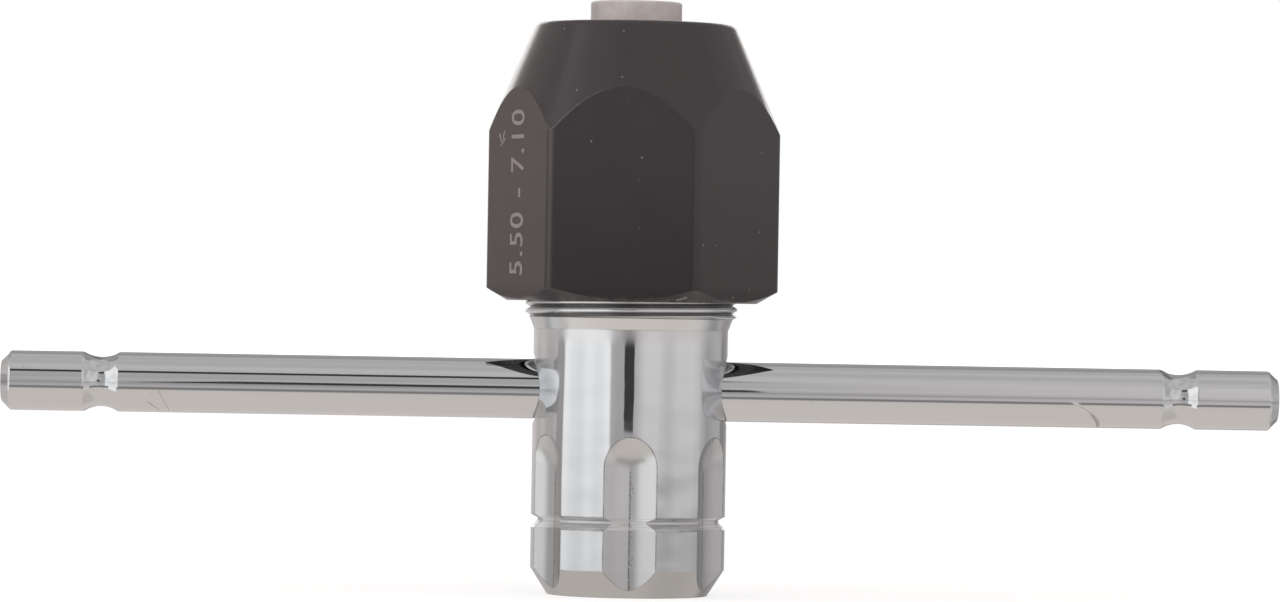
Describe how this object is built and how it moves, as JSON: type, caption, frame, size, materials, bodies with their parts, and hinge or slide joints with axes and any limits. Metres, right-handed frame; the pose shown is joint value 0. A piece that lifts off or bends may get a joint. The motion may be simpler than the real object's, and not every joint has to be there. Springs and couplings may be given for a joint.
{
  "type": "tap adapter",
  "caption": "Tap adapter: a hex collet nut grips a tap's shank, a sliding cross bar turns it by hand, and a fluted, grooved lower end fits a driver.",
  "frame": {"origin": "centre of the drive end's face, on the tap axis", "axes": "+Z along the tap axis towards the collet's mouth, +X along the cross bar"},
  "size_m": [0.1338, 0.028, 0.0622],
  "materials": {
    "barrel": "chrome plate, polished, satin in the flutes",
    "collet": "bare hardened steel, dull",
    "collet_nut": "black oxide, satin",
    "cross_bar": "chrome plate, polished",
    "detent_ball": "polished steel",
    "spring_wire": "drawn spring wire",
    "detent_screw": "black oxide"
  },
  "bodies": {
    "barrel": {"barrel": "barrel", "detent_ball": "detent_ball", "detent_spring": "spring_wire", "detent_screw": "detent_screw", "collet_spring": "spring_wire"},
    "collet": {"collet": "collet"},
    "nut": {"collet_nut": "collet_nut"},
    "bar": {"cross_bar": "cross_bar"}
  },
  "joints": [
    {"name": "bar_slide", "type": "slide", "parent": "barrel", "child": "bar", "axis": [1, 0, 0], "range_m": [-0.05761, 0.05536]},
    {"name": "collet_slide", "type": "slide", "parent": "barrel", "child": "collet", "axis": [0, 0, 1], "range_m": [-0.00127, 0.00169], "deforming": ["collet_spring"]},
    {"name": "nut_turn", "type": "hinge", "parent": "collet", "child": "nut", "pos_m": [0, 0, 0.045], "axis": [0, 0, 1], "range_deg": [-540, 720]}
  ],
  "couplings": [
    {"joint": "collet_slide", "follows": "nut_turn", "m_per_rad": 0.00013475}
  ]
}
